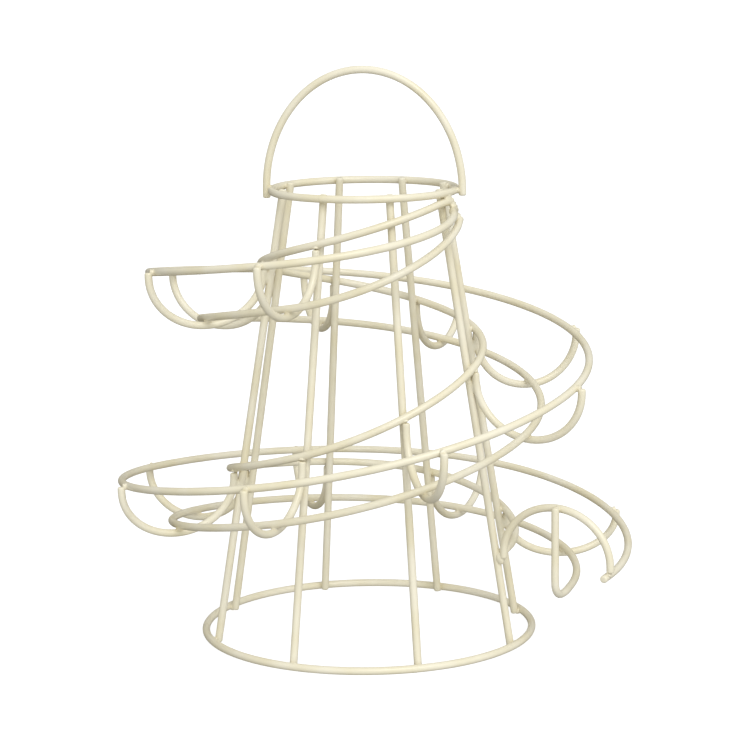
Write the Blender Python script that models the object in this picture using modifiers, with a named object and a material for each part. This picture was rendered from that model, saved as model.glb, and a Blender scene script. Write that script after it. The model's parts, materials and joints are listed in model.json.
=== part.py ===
"""Spiral egg rack: a wire stand that carries one row of eggs down two turns of a cone.

Eight straight uprights join a large base ring to a small top ring. Three rails run round
them from the top to the bottom: an inner and an outer rail that the eggs lean on, and a
bottom rail under them. Fourteen U-shaped cradle hoops, one at each upright the rails pass,
hold the three rails apart. An arch stops the last egg, and a handle spans the top ring.

Lengths are millimetres here and are written to the scene in metres. Positions along the
rails count uprights passed: 0 at the first upright, 8 for each turn, clockwise from above.
"""

import math

import bpy

MM = 0.001
COLLECTION = "spiral_egg_rack"
CREAM = (0.78, 0.73, 0.62, 1.0)

# Wire and the gap left wherever two wires are welded together.
WIRE = 3.0
TOUCH = WIRE + 0.35

# The stand. AXIS puts the middle of the whole rack, rails included, over the origin.
AXIS = (-3.24, -5.7)
BASE_RADIUS = 70.5
TOP_RADIUS = 38.8
TOP_HEIGHT = 191.0
UPRIGHTS = 8
FIRST_UPRIGHT = 62.2
FOOT_RADIUS = BASE_RADIUS - TOUCH
HEAD_RADIUS = TOP_RADIUS - TOUCH

# The handle is turned a little, right leg forward, and its left leg reaches lower.
HANDLE_TURN = math.radians(-12)
HANDLE_RISE = 50.2
HANDLE_TAILS = (2.2, 4.2)

# The rails, at every second upright from the first to the sixteenth.
RAIL_HEIGHT = (188, 172.5, 154.5, 137.5, 118.5, 87, 66.5, 57, 40.5)
CHANNEL_WIDTH = (45.5, 45.5, 47.5, 42.5, 45.5, 45, 47.5, 51, 47.5)
OUTER_RAIL_DROP = (3.5, 3, 3, 0.5, 5.5, 4.5, 4.5, 4.5, 5.5)
CHANNEL_DEPTH = (20, 21.5, 21.5, 20.5, 22.5, 21, 20, 20, 13)
HIGHEST_RAIL = TOP_HEIGHT - TOUCH - 0.3
INNER_START = -0.12
OUTER_START = -0.1
BOTTOM_START = 0.12
RAIL_STEP = 0.18

CRADLES = range(2, 16)
CRADLE_LEG = 2.0
STOP_AT = 16.01
STOP_RISE = 62.0
STOP_BAR_AT = 16.06
STOP_BEND = 6.0


def clear_scene():
    for obj in list(bpy.data.objects):
        bpy.data.objects.remove(obj, do_unlink=True)


def smooth(values, place):
    """The value at `place` uprights along the rails, on a smooth curve through `values`."""
    last = len(values) - 1
    at = place / 2
    i = min(max(math.floor(at), 0), last - 1)
    t = at - i
    a, b, c, d = (values[min(max(i + n, 0), last)] for n in (-1, 0, 1, 2))
    return b + t / 2 * (c - a + t * (2 * a - 5 * b + 4 * c - d + t * (3 * (b - c) + d - a)))


def flare(place, start, slope):
    """Grows from `start` at the first upright to 1 at the third, where the channel is full."""
    t = min(max(place / 2, 0.0), 1.0)
    return start + (1 - start) * t * t * (3 - 2 * t) + slope * t * (1 - t) ** 2


def polar(place, radius, height):
    """The point at this radius and height in the plane of an upright."""
    turn = math.radians(FIRST_UPRIGHT - 360 / UPRIGHTS * place)
    return (radius * math.sin(turn), -radius * math.cos(turn), height)


def upright_radius(height):
    """Distance from the axis to an upright's centre line."""
    lean = (FOOT_RADIUS - HEAD_RADIUS) / (TOP_HEIGHT - WIRE / 2)
    return FOOT_RADIUS - lean * (height - WIRE / 2)


def inner_rail(place):
    height = min(smooth(RAIL_HEIGHT, place), HIGHEST_RAIL)
    return upright_radius(height) + TOUCH, height


def outer_rail(place):
    radius, height = inner_rail(place)
    width = smooth(CHANNEL_WIDTH, place) * flare(place, 0.04, 1.0)
    return radius + width, height - smooth(OUTER_RAIL_DROP, place)


def bottom_rail(place):
    radius, height = inner_rail(place)
    middle = smooth(CHANNEL_WIDTH, place) / 2 + 2.2
    depth = smooth(CHANNEL_DEPTH, place) * flare(place, 0.15, 1.15)
    height -= smooth(OUTER_RAIL_DROP, place) / 2 + depth
    return radius + middle * flare(place, 0.22, 1.6), height


def steps(start, end, size):
    count = math.ceil((end - start) / size)
    return [start + (end - start) * i / count for i in range(count + 1)]


def half_oval(place, tips, far, leg, count=16):
    """Points of a U in an upright's plane, between two (radius, height) tips.

    `far` is the height that the bend reaches, below the tips or above them.
    """
    (r0, z0), (r1, z1) = tips
    way = 1 if far > z0 else -1
    points = [polar(place, r0, z0)]
    for i in range(count + 1):
        turn = math.pi * i / count
        share = (1 - math.cos(turn)) / 2
        base = z0 + (z1 - z0) * share + way * leg
        middle = (z0 + z1) / 2 + way * leg
        points.append(polar(place, r0 + (r1 - r0) * share, base + (far - middle) * math.sin(turn)))
    return points + [polar(place, r1, z1)]


def painted(name):
    material = bpy.data.materials.new(name)
    material.use_nodes = True
    shader = material.node_tree.nodes["Principled BSDF"]
    shader.inputs["Base Color"].default_value = CREAM
    shader.inputs["Roughness"].default_value = 0.4
    return material


def finish(name, obj, collection):
    obj.data.materials.append(painted(name + "_paint"))
    collection.objects.link(obj)


def wire(name, points, collection):
    """A round wire along the points, capped flat at both ends."""
    curve = bpy.data.curves.new(name, "CURVE")
    curve.dimensions = "3D"
    curve.bevel_depth = WIRE / 2 * MM
    curve.bevel_resolution = 2
    curve.use_fill_caps = True
    spline = curve.splines.new("POLY")
    spline.points.add(len(points) - 1)
    for point, (x, y, z) in zip(spline.points, points):
        point.co = ((x + AXIS[0]) * MM, (y + AXIS[1]) * MM, z * MM, 1)
    finish(name, bpy.data.objects.new(name, curve), collection)


def ring(name, radius, height, collection, sides=12, segments=60):
    """A closed wire ring: a section with a flat side down, turned once round the axis."""
    section = []
    for i in range(sides):
        turn = 2 * math.pi * (i + 0.5) / sides
        across = WIRE / 2 * math.cos(turn)
        section.append(((radius + across) * MM, 0, WIRE / 2 * math.sin(turn) * MM))
    mesh = bpy.data.meshes.new(name)
    mesh.from_pydata(section, [(i, (i + 1) % sides) for i in range(sides)], [])
    obj = bpy.data.objects.new(name, mesh)
    obj.location = (AXIS[0] * MM, AXIS[1] * MM, height * MM)
    screw = obj.modifiers.new("Turn", "SCREW")
    screw.steps = screw.render_steps = segments
    screw.use_merge_vertices = True
    screw.merge_threshold = 0.00001
    screw.use_normal_flip = True
    finish(name, obj, collection)


def build_stand(collection):
    flat = WIRE / 2 * math.cos(math.pi / 12)
    ring("base_ring", BASE_RADIUS, flat, collection)
    ring("top_ring", TOP_RADIUS, TOP_HEIGHT, collection)
    for number in range(UPRIGHTS):
        low, high = 0.3, TOP_HEIGHT + WIRE / 2
        ends = [polar(number, upright_radius(z), z) for z in (low, high)]
        wire(f"upright_{number + 1}", ends, collection)
    reach = TOP_RADIUS + TOUCH
    along = reach * math.cos(HANDLE_TURN), reach * math.sin(HANDLE_TURN)
    right, left = HANDLE_TAILS
    arch = [(*along, TOP_HEIGHT - right)]
    for i in range(33):
        turn = math.pi * i / 32
        share, rise = math.cos(turn), HANDLE_RISE * math.sin(turn)
        arch.append((share * along[0], share * along[1], TOP_HEIGHT + rise))
    arch.append((-along[0], -along[1], TOP_HEIGHT - left))
    wire("handle", arch, collection)


def build_rails(collection):
    inner = steps(INNER_START, 15.96, RAIL_STEP)
    wire("inner_rail", [polar(k, *inner_rail(k)) for k in inner], collection)
    outer = steps(OUTER_START, 16.05, RAIL_STEP)
    wire("outer_rail", [polar(k, *outer_rail(k)) for k in outer], collection)

    # The bottom rail ends in a bar that turns up in front of the end stop.
    bend = STOP_BAR_AT - 0.09
    radius, low = bottom_rail(bend)
    bottom = [polar(k, *bottom_rail(k)) for k in steps(BOTTOM_START, bend, RAIL_STEP)]
    along = [polar(k, radius, 0) for k in (bend, STOP_BAR_AT)]
    for i in range(1, 9):
        turn = math.pi / 2 * i / 8
        share = math.sin(turn)
        x, y = (a + (b - a) * share for a, b in zip(along[0][:2], along[1][:2]))
        bottom.append((x, y, low + STOP_BEND * (1 - math.cos(turn))))
    bottom.append((*along[1][:2], STOP_RISE + WIRE / 3))
    wire("bottom_rail", bottom, collection)


def build_cradles(collection):
    """The U hoops hang from the inner rail, pass under the bottom rail and hold the outer."""
    for number, place in enumerate(CRADLES, 1):
        r_in, z_in = inner_rail(place)
        r_out, z_out = outer_rail(place)
        tips = (r_in + 0.8, z_in - 2.1), (r_out + TOUCH, z_out)
        bend = bottom_rail(place)[1] - TOUCH
        points = half_oval(place, tips, bend, CRADLE_LEG)
        wire(f"cradle_hoop_{number:02d}", points, collection)

    r_in, z_in = inner_rail(16)
    r_out, z_out = outer_rail(STOP_AT)
    tips = (r_in + 0.6, z_in - 2.5), (r_out + 1.6, z_out + 2.1)
    wire("end_arch", half_oval(STOP_AT, tips, STOP_RISE, CRADLE_LEG, 20), collection)


def main():
    clear_scene()
    collection = bpy.data.collections.new(COLLECTION)
    bpy.context.scene.collection.children.link(collection)
    build_stand(collection)
    build_rails(collection)
    build_cradles(collection)


if __name__ == "__main__":
    main()
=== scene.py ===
"""Spiral egg rack, finished: each wire drawn round and smooth, its welds and its powder coat.

The rack is bent from one gauge of round steel wire. Each wire's line is read from the frame,
a finely sided wire with rounded ends is drawn along it, and a weld is laid wherever two
wires touch. One satin powder coat with an orange-peel skin covers all of it.
"""

import functools
import itertools
import json
import math

import bmesh
import bpy
import numpy as np
from bpy.props import FloatProperty, FloatVectorProperty, IntProperty, PointerProperty
from mathutils import Matrix, Vector, noise


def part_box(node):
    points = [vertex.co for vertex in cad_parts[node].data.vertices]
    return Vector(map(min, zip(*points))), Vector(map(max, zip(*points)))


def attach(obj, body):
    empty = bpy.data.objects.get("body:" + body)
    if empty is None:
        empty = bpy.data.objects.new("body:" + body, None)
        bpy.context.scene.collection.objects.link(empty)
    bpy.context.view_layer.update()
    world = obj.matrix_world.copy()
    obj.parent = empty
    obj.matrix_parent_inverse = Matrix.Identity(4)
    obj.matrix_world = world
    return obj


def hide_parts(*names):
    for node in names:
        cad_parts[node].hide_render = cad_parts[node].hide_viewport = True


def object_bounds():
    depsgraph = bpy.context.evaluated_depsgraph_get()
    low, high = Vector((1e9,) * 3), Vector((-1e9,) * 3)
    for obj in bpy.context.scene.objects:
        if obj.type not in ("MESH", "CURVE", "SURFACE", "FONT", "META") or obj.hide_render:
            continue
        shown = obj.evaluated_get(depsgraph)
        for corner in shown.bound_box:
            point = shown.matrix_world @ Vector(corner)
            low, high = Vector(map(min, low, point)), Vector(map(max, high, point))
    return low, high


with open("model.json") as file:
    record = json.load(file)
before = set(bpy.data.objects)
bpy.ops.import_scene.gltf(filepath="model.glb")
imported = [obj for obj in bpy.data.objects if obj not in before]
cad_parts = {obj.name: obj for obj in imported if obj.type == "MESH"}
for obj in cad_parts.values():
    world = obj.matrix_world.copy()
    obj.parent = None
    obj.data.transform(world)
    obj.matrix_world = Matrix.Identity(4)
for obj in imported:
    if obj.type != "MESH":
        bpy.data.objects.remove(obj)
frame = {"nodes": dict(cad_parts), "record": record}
FRAME_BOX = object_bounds()
noise.seed_set(1)

bl_info = {
    "name": "Spiral Egg Rack",
    "version": (1, 0, 0),
    "blender": (4, 5, 0),
    "location": "View3D > Sidebar > Egg Rack",
    "description": "Draws a powder-coated wire egg rack over its frame",
    "category": "Object",
}

MM = 0.001
UPENDED = Matrix.Rotation(math.pi / 2, 4, "X")
BODY = "root"
CENTRE = (FRAME_BOX[0] + FRAME_BOX[1]) / 2
SLOTS = {part["node"]: part["material_slot"] for part in frame["record"]["subparts"]}


def nodes_named(start):
    return tuple(sorted(name for name in frame["nodes"] if name.startswith(start)))


RINGS = ("base_ring", "top_ring")
UPRIGHTS = nodes_named("upright_")
RAILS = ("inner_rail", "outer_rail", "bottom_rail")
HOOPS = nodes_named("cradle_hoop_")


# ---------------------------------------------------------------- settings


class EggRackWire(bpy.types.PropertyGroup):
    """How finely a wire is drawn, and how its coated ends and surface swell."""

    sides: IntProperty(
        name="Sides", description="Faces round a wire", default=20, min=8, max=48
    )
    spacing: FloatProperty(
        name="Spacing", description="Distance between the rings of faces along a wire",
        default=1.5 * MM, min=0.5 * MM, unit="LENGTH", precision=4,
    )
    fullness: FloatProperty(
        name="Fullness", description="How much fuller the coated wire is than its frame",
        default=0.12 * MM, min=0.0, max=0.3 * MM, unit="LENGTH", precision=5,
    )
    end_round: FloatProperty(
        name="End rounding", description="Radius of the coated edge of a cut end",
        default=0.75 * MM, min=0.1 * MM, unit="LENGTH", precision=5,
    )
    swell: FloatProperty(
        name="Coat swell", description="How much the coat's thickness varies along a wire",
        default=0.035 * MM, min=0.0, unit="LENGTH", precision=5,
    )
    swell_length: FloatProperty(
        name="Swell length", description="Distance from one thick stretch of coat to the next",
        default=9 * MM, min=1 * MM, unit="LENGTH", precision=4,
    )


class EggRackWeld(bpy.types.PropertyGroup):
    """The fused neck between two wires that touch."""

    waist: FloatProperty(
        name="Waist", description="Half width of a weld midway between its two wires",
        default=1.3 * MM, min=0.2 * MM, unit="LENGTH", precision=5,
    )
    root: FloatProperty(
        name="Root", description="Half width of a weld where it runs into a wire",
        default=1.6 * MM, min=0.2 * MM, unit="LENGTH", precision=5,
    )
    unevenness: FloatProperty(
        name="Unevenness", description="How far a weld's surface strays from round",
        default=0.12 * MM, min=0.0, unit="LENGTH", precision=5,
    )
    longest: FloatProperty(
        name="Longest", description="Most that a weld stretches where wires meet at a slant",
        default=2.2, min=1.0,
    )
    heel: FloatProperty(
        name="Heel", description="Half width of the filled weld at the foot of the end arch",
        default=1.75 * MM, min=0.2 * MM, unit="LENGTH", precision=5,
    )
    seam_height: FloatProperty(
        name="Seam height", description="How far the butt weld of a ring stands proud of its wire",
        default=0.16 * MM, min=0.0, unit="LENGTH", precision=5,
    )


class EggRackCoat(bpy.types.PropertyGroup):
    """The cream powder coat."""

    cream: FloatVectorProperty(
        name="Cream", description="Colour of the coat", subtype="COLOR",
        default=(0.80, 0.74, 0.572), min=0.0, max=1.0,
    )
    thick_cream: FloatVectorProperty(
        name="Thick cream", description="Colour where the coat has pooled", subtype="COLOR",
        default=(0.745, 0.67, 0.455), min=0.0, max=1.0,
    )
    roughness: FloatProperty(
        name="Roughness", description="Roughness of the satin skin",
        default=0.33, min=0.0, max=1.0, subtype="FACTOR",
    )
    peel_size: FloatProperty(
        name="Peel size", description="Distance between the dimples of the orange-peel skin",
        default=0.9 * MM, min=0.1 * MM, unit="LENGTH", precision=5,
    )
    peel_depth: FloatProperty(
        name="Peel depth", description="Depth of those dimples",
        default=0.02 * MM, min=0.0, unit="LENGTH", precision=6,
    )


class EggRackStage(bpy.types.PropertyGroup):
    """The glowing white floor, the key light, the shaded room and the camera."""

    glow: FloatProperty(
        name="Glow", description="Light that the white floor gives off", default=0.86, min=0.0
    )
    floor: FloatProperty(
        name="Floor", description="Share of the light that the floor throws back",
        default=0.3, min=0.0, max=1.0, subtype="FACTOR",
    )
    key: FloatProperty(
        name="Key light", description="Strength of the light from above and in front",
        default=0.95, min=0.0,
    )
    key_spread: FloatProperty(
        name="Key spread", description="Width of the key light as the rack sees it",
        default=math.radians(30), min=0.0, max=math.pi, subtype="ANGLE",
    )
    room_dark: FloatVectorProperty(
        name="Dark side", description="Light from low down and behind", subtype="COLOR",
        default=(0.08, 0.06, 0.03), min=0.0, max=4.0,
    )
    room_bright: FloatVectorProperty(
        name="Bright side", description="Light from above and in front", subtype="COLOR",
        default=(1.15, 1.19, 1.24), min=0.0, max=4.0,
    )
    focal_length: FloatProperty(
        name="Focal length", description="The camera's lens, in millimetres",
        default=126.74, min=10.0,
    )


# ---------------------------------------------------------------- reading the frame


def joined_mesh(node):
    """A copy of a frame node's mesh with its loose triangles joined up."""
    bm = bmesh.new()
    bm.from_mesh(frame["nodes"][node].data)
    bmesh.ops.remove_doubles(bm, verts=bm.verts, dist=0.01 * MM)
    return bm


def cut_end(bm):
    """The corners round one cut end of a wire, where its faces turn a right angle."""
    sharp = math.radians(75)
    edges = {e for e in bm.edges if e.calc_face_angle(0) > sharp}
    corners, waiting = set(), [next(iter(sorted(edges, key=lambda e: e.index))).verts[0]]
    while waiting:
        corner = waiting.pop()
        if corner not in corners:
            corners.add(corner)
            waiting += [e.other_vert(corner) for e in corner.link_edges if e in edges]
    return corners


def middle(corners):
    """The mean place of the corners, summed exactly, so that their order makes no difference."""
    return Vector([math.fsum(v.co[axis] for v in corners) / len(corners) for axis in range(3)])


def frame_line(node):
    """The points down the middle of an open frame wire, from one end to the other."""
    bm = joined_mesh(node)
    section, passed, points = cut_end(bm), set(), []
    while section:
        points.append(middle(section))
        passed |= section
        section = {e.other_vert(v) for v in section for e in v.link_edges} - passed
    bm.free()
    return np.array(points)


def wire_radius():
    """Half the rack's wire gauge: how far a section's corners lie from its middle."""
    bm = joined_mesh(HOOPS[0])
    corners = cut_end(bm)
    radius = max((v.co - middle(corners)).length for v in corners)
    bm.free()
    return round(radius, 5)


RADIUS = wire_radius()


def ring_sizes(node):
    """The centre, at the height of its wire's middle, and the radius of a frame ring."""
    low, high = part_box(node)
    centre = (low + high) / 2
    centre.z = low.z + RADIUS if low.z < MM else centre.z
    return centre, (high.x - low.x - (high.z - low.z)) / 2


def ring_line(node, spacing=0.5 * MM):
    centre, radius = ring_sizes(node)
    turns = np.linspace(0, 2 * math.pi, round(2 * math.pi * radius / spacing))
    around = np.stack([np.cos(turns), np.sin(turns), 0 * turns], axis=1)
    return np.array(centre) + radius * around


def filled_out(points, longest=12 * MM):
    """The points with more set evenly along any straight run."""
    runs = [points[:1]]
    for a, b in zip(points, points[1:]):
        length = np.linalg.norm(b - a)
        count = math.ceil(length / longest) if length > 2 * longest else 1
        runs.append(a + (b - a) * np.linspace(0, 1, count + 1)[1:, None])
    return np.concatenate(runs)


def smooth_line(points, spacing=0.5 * MM):
    """A smooth line through the points, closely and evenly spaced."""
    points = filled_out(points)
    ahead = 2 * points[-1] - points[-2]
    behind = 2 * points[0] - points[1]
    points = np.concatenate([[behind], points, [ahead]])
    knots = np.concatenate([[0], np.cumsum(np.linalg.norm(np.diff(points, axis=0), axis=1))])
    slopes = np.gradient(points, knots, axis=0)
    fine = []
    for i in range(1, len(points) - 2):
        span = knots[i + 1] - knots[i]
        t = np.linspace(0, 1, max(2, round(span / spacing) + 1))[:-1, None]
        fine.append(
            (2 * t**3 - 3 * t**2 + 1) * points[i] + (t**3 - 2 * t**2 + t) * span * slopes[i]
            + (3 * t**2 - 2 * t**3) * points[i + 1] + (t**3 - t**2) * span * slopes[i + 1]
        )
    return np.concatenate([*fine, points[-2:-1]])


@functools.lru_cache(maxsize=None)
def line(node):
    """The fine line down the middle of a wire, as an array of points."""
    return ring_line(node) if node in RINGS else smooth_line(frame_line(node))


# ---------------------------------------------------------------- drawing a wire

END_STEPS = 4
HEADING_REACH = 0.6 * MM


def swelling(place, along, settings):
    """How much thicker the coat is at one place on a wire."""
    spot = Vector((along / settings.swell_length, place.x * 30, place.z * 30))
    return settings.swell * noise.noise(spot)


def coated_radius():
    return RADIUS + bpy.context.scene.egg_rack_wire.fullness


def stations(length, settings):
    """(distance along, radius) of each section: rounded over at both cut ends."""
    edge, full = settings.end_round, coated_radius()
    ends = []
    for i in range(END_STEPS + 1):
        turn = math.pi / 2 * i / END_STEPS
        ends.append((edge * (1 - math.sin(turn)), full - edge * (1 - math.cos(turn))))
    ends.reverse()
    count = math.ceil((length - 2 * edge) / settings.spacing)
    body = [(edge + (length - 2 * edge) * i / count, full) for i in range(1, count)]
    return ends + body + [(length - along, radius) for along, radius in reversed(ends)]


def sections(points, settings):
    """A placing matrix for each section of a wire, turned along it without a twist."""
    along = np.concatenate([[0], np.cumsum(np.linalg.norm(np.diff(points, axis=0), axis=1))])
    placed, facing, old_heading = [], None, None
    for distance, radius in stations(along[-1], settings):
        place, before, after = (
            Vector([np.interp(distance + shift, along, points[:, axis]) for axis in range(3)])
            for shift in (0, -HEADING_REACH, HEADING_REACH)
        )
        heading = (after - before).normalized()
        if facing is None:
            facing = heading.to_track_quat("Z", "Y")
        else:
            facing = old_heading.rotation_difference(heading) @ facing
        old_heading = heading
        width = radius + swelling(place, distance, settings)
        placed.append(Matrix.LocRotScale(place, facing, (width, width, width)))
    return placed


def draw_wire(bm, points, settings):
    """Extrudes a round section along the points and closes both ends."""
    placed = sections(points, settings)
    bmesh.ops.create_circle(bm, segments=settings.sides, radius=1, matrix=placed[0])
    rim = list(bm.edges)
    bmesh.ops.contextual_create(bm, geom=rim)
    for old, new in zip(placed, placed[1:]):
        grown = bmesh.ops.extrude_edge_only(bm, edges=rim)["geom"]
        corners = [item for item in grown if isinstance(item, bmesh.types.BMVert)]
        rim = [e for e in grown if isinstance(e, bmesh.types.BMEdge) and e.is_boundary]
        bmesh.ops.transform(bm, matrix=new @ old.inverted(), verts=corners)
    bmesh.ops.contextual_create(bm, geom=rim)


def draw_ring(bm, node, settings):
    """Spins a round section once about the ring's axis."""
    centre, radius = ring_sizes(node)
    bmesh.ops.create_circle(
        bm, segments=settings.sides, radius=coated_radius(),
        matrix=Matrix.Translation(centre + Vector((radius, 0, 0))) @ UPENDED,
    )
    bmesh.ops.spin(
        bm, geom=bm.verts[:] + bm.edges[:], cent=centre, axis=(0, 0, 1), angle=2 * math.pi,
        steps=round(2 * math.pi * radius / settings.spacing), use_merge=True,
    )


def finish_piece(name, bm, node, *replaced):
    """Makes the piece's object, paints it and sets it on the rack's body."""
    bmesh.ops.recalc_face_normals(bm, faces=bm.faces)
    mesh = bpy.data.meshes.new(name)
    bm.to_mesh(mesh)
    bm.free()
    mesh.shade_smooth()
    piece = bpy.data.objects.new(name, mesh)
    bpy.context.scene.collection.objects.link(piece)
    mesh.materials.append(coat_material(SLOTS[node]))
    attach(piece, BODY)
    if replaced:
        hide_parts(*replaced)
    return piece


def make_wires(*nodes):
    settings = bpy.context.scene.egg_rack_wire
    for node in nodes:
        bm = bmesh.new()
        if node in RINGS:
            draw_ring(bm, node, settings)
        else:
            draw_wire(bm, line(node), settings)
        finish_piece(node + "_wire", bm, node, node)


# ---------------------------------------------------------------- welds

WELD_REACH = 2.9 * RADIUS
WELD_STEPS = 5
WELD_SIDES = 18
HEEL_STRETCH = 1.6
LUMPS_PER_METRE = 900
SEAM_STEPS = 6
SEAM_SIDES = 24


def touches(a, b):
    """Where two wires are welded: the nearest pair of points of each stretch within reach."""
    first, second = line(a), line(b)
    low, high = first.min(axis=0) - WELD_REACH, first.max(axis=0) + WELD_REACH
    second = second[((second > low) & (second < high)).all(axis=1)]
    if not len(second):
        return []
    apart = np.linalg.norm(first[:, None] - second[None], axis=2)
    nearest = apart.min(axis=1)
    found, start = [], None
    for i, near in enumerate([*(nearest < WELD_REACH), False]):
        if near and start is None:
            start = i
        elif not near and start is not None:
            best = start + int(nearest[start:i].argmin())
            found.append((first[best], second[apart[best].argmin()], best))
            start = None
    return found


def heading_at(points, i):
    before, after = points[max(i - 2, 0)], points[min(i + 2, len(points) - 1)]
    return Vector(after - before).normalized()


def spun(profile, steps, closed=False):
    """A profile of (distance from the axis, height) points, spun once about the axis."""
    bm = bmesh.new()
    points = [bm.verts.new((x, 0, z)) for x, z in profile]
    for one, other in zip(points, points[1:] + (points[:1] if closed else [])):
        bm.edges.new((one, other))
    bmesh.ops.spin(
        bm, geom=bm.verts[:] + bm.edges[:], cent=(0, 0, 0), axis=(0, 0, 1),
        angle=2 * math.pi, steps=steps, use_merge=True,
    )
    return bm


def move_into(bm, part):
    """Adds one finished shape to the piece and frees it."""
    spare = bpy.data.meshes.new("spare")
    part.to_mesh(spare)
    part.free()
    bm.from_mesh(spare)
    bpy.data.meshes.remove(spare)


def draw_weld(bm, a, b, settings):
    """Spins a necked plug from the middle of one wire to the middle of the other."""
    for at_a, at_b, i in touches(a, b):
        at_a, at_b = Vector(at_a), Vector(at_b)
        j = int(np.linalg.norm(line(b) - np.array(at_b), axis=1).argmin())
        first, second = heading_at(line(a), i), heading_at(line(b), j)
        second = second if first.dot(second) > 0 else -second
        across = at_b - at_a
        up = across.normalized()
        slant = (first + second) - (first + second).dot(up) * up
        slant = slant.normalized() if slant.length > 0.1 else up.orthogonal().normalized()
        stretch = min(settings.longest, 1 / max(first.cross(second).length, 0.1))
        half = min(across.length * 0.34, 1.15 * MM)
        waist, root = settings.waist, settings.root
        if a in UPRIGHTS and b == "end_arch":
            stretch, half = HEEL_STRETCH, across.length / 2
            waist, root = settings.heel, settings.waist
        profile = [(0.0, -half * 1.12)]
        for step in range(-WELD_STEPS, WELD_STEPS + 1):
            share = step / WELD_STEPS
            width = waist + (root - waist) * share**2
            profile.append((width * (1 - 0.25 * share**8), half * share))
        profile.append((0.0, half * 1.12))
        plug = spun(profile, WELD_SIDES)
        bmesh.ops.remove_doubles(plug, verts=plug.verts, dist=0.005 * MM)
        turned = Matrix((slant * stretch, up.cross(slant), up)).transposed().to_4x4()
        place = Matrix.Translation((at_a + at_b) / 2)
        bmesh.ops.transform(plug, matrix=place @ turned, verts=plug.verts)
        for corner in plug.verts:
            lump = noise.noise_vector(corner.co * LUMPS_PER_METRE)
            corner.co += settings.unevenness * lump
        bmesh.ops.recalc_face_normals(plug, faces=plug.faces)
        move_into(bm, plug)


def draw_seam(bm, node, turn, settings):
    """The low collar where a ring's two ends were butted and welded."""
    centre, radius = ring_sizes(node)
    full = coated_radius()
    profile = [(0.8 * full, -1.5 * MM)]
    for step in range(-SEAM_STEPS, SEAM_STEPS + 1):
        share = step / SEAM_STEPS
        proud = settings.seam_height * (1 - share**2) * (0.45 + 0.55 * abs(share))
        profile.append((full + proud - 0.02 * MM, 1.3 * MM * share))
    profile.append((0.8 * full, 1.5 * MM))
    collar = spun(profile, SEAM_SIDES, closed=True)
    lying = Matrix.Translation((radius, 0, 0)) @ UPENDED
    place = Matrix.Translation(centre) @ Matrix.Rotation(turn, 4, "Z") @ lying
    bmesh.ops.transform(collar, matrix=place, verts=collar.verts)
    move_into(bm, collar)


def make_welds(name, node, pairs, seams=()):
    settings = bpy.context.scene.egg_rack_weld
    bm = bmesh.new()
    for a, b in pairs:
        draw_weld(bm, a, b, settings)
    for ring, turn in seams:
        draw_seam(bm, ring, turn, settings)
    finish_piece(name, bm, node)


# ---------------------------------------------------------------- the coat


def named_node(tree, kind, label, **values):
    node = tree.nodes.new(kind)
    node.label = label
    for socket, value in values.items():
        node.inputs[socket.replace("_", " ")].default_value = value
    return node


@functools.lru_cache(maxsize=None)
def coat_material(slot):
    """Satin cream powder coat: two close creams, uneven gloss and an orange-peel skin."""
    settings = bpy.context.scene.egg_rack_coat
    material = bpy.data.materials.new(f"cream_powder_coat_{slot}")
    material.use_nodes = True
    tree = material.node_tree
    shader = tree.nodes["Principled BSDF"]
    shader.inputs["IOR"].default_value = 1.5
    shader.inputs["Coat Weight"].default_value = 0.12
    shader.inputs["Coat Roughness"].default_value = 0.22
    where = tree.nodes.new("ShaderNodeTexCoord")

    pooled = named_node(tree, "ShaderNodeTexNoise", "where the coat pools", Scale=55, Detail=3)
    tone = tree.nodes.new("ShaderNodeValToRGB")
    tone.label = "cream to thick cream"
    tone.color_ramp.elements[0].position = 0.36
    tone.color_ramp.elements[0].color = (*settings.cream, 1)
    tone.color_ramp.elements[1].position = 0.70
    tone.color_ramp.elements[1].color = (*settings.thick_cream, 1)
    tree.links.new(where.outputs["Object"], pooled.inputs["Vector"])
    tree.links.new(pooled.outputs["Fac"], tone.inputs["Fac"])
    tree.links.new(tone.outputs["Color"], shader.inputs["Base Color"])

    uneven = named_node(tree, "ShaderNodeTexNoise", "uneven gloss", Scale=160, Detail=4)
    gloss = named_node(tree, "ShaderNodeMapRange", "gloss range")
    gloss.inputs["To Min"].default_value = settings.roughness - 0.07
    gloss.inputs["To Max"].default_value = settings.roughness + 0.09
    tree.links.new(where.outputs["Object"], uneven.inputs["Vector"])
    tree.links.new(uneven.outputs["Fac"], gloss.inputs["Value"])
    tree.links.new(gloss.outputs["Result"], shader.inputs["Roughness"])

    peel = named_node(
        tree, "ShaderNodeTexNoise", "orange peel", Scale=0.8 / settings.peel_size, Detail=1
    )
    skin = named_node(
        tree, "ShaderNodeBump", "skin", Strength=0.9, Distance=settings.peel_depth
    )
    tree.links.new(where.outputs["Object"], peel.inputs["Vector"])
    tree.links.new(peel.outputs["Fac"], skin.inputs["Height"])
    tree.links.new(skin.outputs["Normal"], shader.inputs["Normal"])
    return material


# ---------------------------------------------------------------- the operators

SEAMS = (("base_ring", math.radians(-75)), ("top_ring", math.radians(-115.5)))
FLOOR_REACH = 14
KEY_FROM = Vector((0.35, -0.85, 0.85))
ROOM_BRIGHT = Vector((0.2, -0.8, 0.6))
CAMERA_PLACE = (-3.24 * MM, -1114.055 * MM, 312.714 * MM)
CAMERA_TURN = (1.3911, 0.0113, -0.0055)


class EGGRACK_OT_rings(bpy.types.Operator):
    """Draw the base ring and the top ring"""

    bl_idname = "egg_rack.rings"
    bl_label = "Rings"

    def execute(self, context):
        make_wires(*RINGS)
        return {"FINISHED"}


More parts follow.
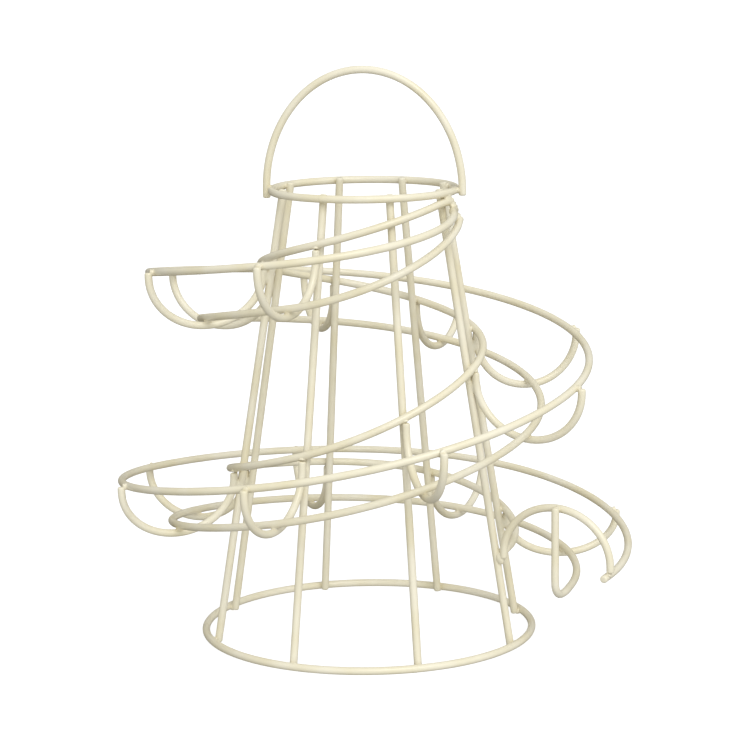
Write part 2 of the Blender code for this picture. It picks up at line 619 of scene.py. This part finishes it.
class EGGRACK_OT_uprights(bpy.types.Operator):
    """Draw the straight uprights of the cone"""

    bl_idname = "egg_rack.uprights"
    bl_label = "Uprights"

    def execute(self, context):
        make_wires(*UPRIGHTS)
        return {"FINISHED"}


class EGGRACK_OT_handle(bpy.types.Operator):
    """Draw the arched handle"""

    bl_idname = "egg_rack.handle"
    bl_label = "Handle"

    def execute(self, context):
        make_wires("handle")
        return {"FINISHED"}


class EGGRACK_OT_rails(bpy.types.Operator):
    """Draw the three rails that wind down the cone"""

    bl_idname = "egg_rack.rails"
    bl_label = "Rails"

    def execute(self, context):
        make_wires(*RAILS)
        return {"FINISHED"}


class EGGRACK_OT_cradles(bpy.types.Operator):
    """Draw the cradle hoops and the arch that stops the last egg"""

    bl_idname = "egg_rack.cradles"
    bl_label = "Cradle hoops"

    def execute(self, context):
        make_wires(*HOOPS, "end_arch")
        return {"FINISHED"}


class EGGRACK_OT_welds(bpy.types.Operator):
    """Lay a weld wherever two wires touch, and a seam on each ring"""

    bl_idname = "egg_rack.welds"
    bl_label = "Welds"

    def execute(self, context):
        make_welds("stand_welds", "base_ring", itertools.product(RINGS, UPRIGHTS), SEAMS)
        make_welds("handle_welds", "handle", [("top_ring", "handle")])
        beside = [("top_ring", "inner_rail"), *itertools.product(UPRIGHTS, RAILS)]
        make_welds("rail_welds", "inner_rail", [*beside, *itertools.combinations(RAILS, 2)])
        held = itertools.product((*UPRIGHTS, *RAILS), (*HOOPS, "end_arch"))
        make_welds("cradle_welds", "end_arch", held)
        return {"FINISHED"}


class EGGRACK_OT_stage(bpy.types.Operator):
    """Set the white floor, the key light, the shaded room and the camera"""

    bl_idname = "egg_rack.stage"
    bl_label = "Stage"

    def execute(self, context):
        settings = context.scene.egg_rack_stage
        bm = bmesh.new()
        bmesh.ops.create_grid(bm, x_segments=1, y_segments=1, size=FLOOR_REACH)
        mesh = bpy.data.meshes.new("floor")
        bm.to_mesh(mesh)
        bm.free()
        floor = bpy.data.objects.new("floor", mesh)
        paper = bpy.data.materials.new("white_paper")
        paper.use_nodes = True
        shader = paper.node_tree.nodes["Principled BSDF"]
        shader.inputs["Base Color"].default_value = (*[settings.floor] * 3, 1)
        shader.inputs["Roughness"].default_value = 1
        shader.inputs["Specular IOR Level"].default_value = 0
        shader.inputs["Emission Color"].default_value = (1, 1, 1, 1)
        shader.inputs["Emission Strength"].default_value = settings.glow
        mesh.materials.append(paper)
        floor.visible_diffuse = floor.visible_glossy = False
        context.scene.collection.objects.link(floor)

        lamp = bpy.data.lights.new("key", "SUN")
        lamp.energy = settings.key
        lamp.angle = settings.key_spread
        key = bpy.data.objects.new("key", lamp)
        key.location = CENTRE + KEY_FROM
        key.rotation_euler = KEY_FROM.to_track_quat("Z", "Y").to_euler()
        context.scene.collection.objects.link(key)

        room = bpy.data.worlds.new("room")
        room.use_nodes = True
        tree = room.node_tree
        way = tree.nodes.new("ShaderNodeTexCoord")
        side = tree.nodes.new("ShaderNodeVectorMath")
        side.operation = "DOT_PRODUCT"
        side.inputs[1].default_value = ROOM_BRIGHT.normalized()
        share = tree.nodes.new("ShaderNodeMapRange")
        share.inputs["From Min"].default_value = -1
        blend = tree.nodes.new("ShaderNodeMix")
        blend.data_type = "RGBA"
        blend.inputs["A"].default_value = (*settings.room_dark, 1)
        blend.inputs["B"].default_value = (*settings.room_bright, 1)
        tree.links.new(way.outputs["Generated"], side.inputs[0])
        tree.links.new(side.outputs["Value"], share.inputs["Value"])
        tree.links.new(share.outputs["Result"], blend.inputs["Factor"])
        tree.links.new(blend.outputs["Result"], tree.nodes["Background"].inputs["Color"])
        context.scene.world = room
        context.scene.view_settings.view_transform = "Standard"

        lens = bpy.data.cameras.new("camera")
        lens.lens = settings.focal_length
        lens.sensor_width = 36
        camera = bpy.data.objects.new("camera", lens)
        camera.location = CAMERA_PLACE
        camera.rotation_euler = CAMERA_TURN
        context.scene.collection.objects.link(camera)
        context.scene.camera = camera
        return {"FINISHED"}


class EGGRACK_PT_panel(bpy.types.Panel):
    """The steps that make the rack, with their settings"""

    bl_idname = "EGGRACK_PT_panel"
    bl_label = "Egg Rack"
    bl_space_type = "VIEW_3D"
    bl_region_type = "UI"
    bl_category = "Egg Rack"

    def draw(self, context):
        for title, settings in SETTINGS.items():
            box = self.layout.box()
            box.label(text=title)
            group = getattr(context.scene, settings)
            for name in group.bl_rna.properties.keys():
                if name not in ("rna_type", "name"):
                    box.prop(group, name)
        for operator in OPERATORS:
            self.layout.operator(operator.bl_idname)


SETTINGS = {
    "Wire": "egg_rack_wire",
    "Welds": "egg_rack_weld",
    "Coat": "egg_rack_coat",
    "Stage": "egg_rack_stage",
}
GROUPS = (EggRackWire, EggRackWeld, EggRackCoat, EggRackStage)
OPERATORS = (
    EGGRACK_OT_rings,
    EGGRACK_OT_uprights,
    EGGRACK_OT_handle,
    EGGRACK_OT_rails,
    EGGRACK_OT_cradles,
    EGGRACK_OT_welds,
    EGGRACK_OT_stage,
)
CLASSES = (*GROUPS, *OPERATORS, EGGRACK_PT_panel)


def register():
    for cls in CLASSES:
        bpy.utils.register_class(cls)
    for settings, group in zip(SETTINGS.values(), GROUPS):
        setattr(bpy.types.Scene, settings, PointerProperty(type=group))


def unregister():
    for settings in SETTINGS.values():
        delattr(bpy.types.Scene, settings)
    for cls in reversed(CLASSES):
        bpy.utils.unregister_class(cls)


def clear_startup():
    """Takes away the cube, lamp and camera that a new file holds."""
    for name in ("Cube", "Light", "Camera"):
        if name in bpy.data.objects:
            bpy.data.objects.remove(bpy.data.objects[name], do_unlink=True)


def main():
    register()
    clear_startup()
    for operator in OPERATORS:
        group, name = operator.bl_idname.split(".")
        getattr(getattr(bpy.ops, group), name)()


if __name__ == "__main__":
    main()
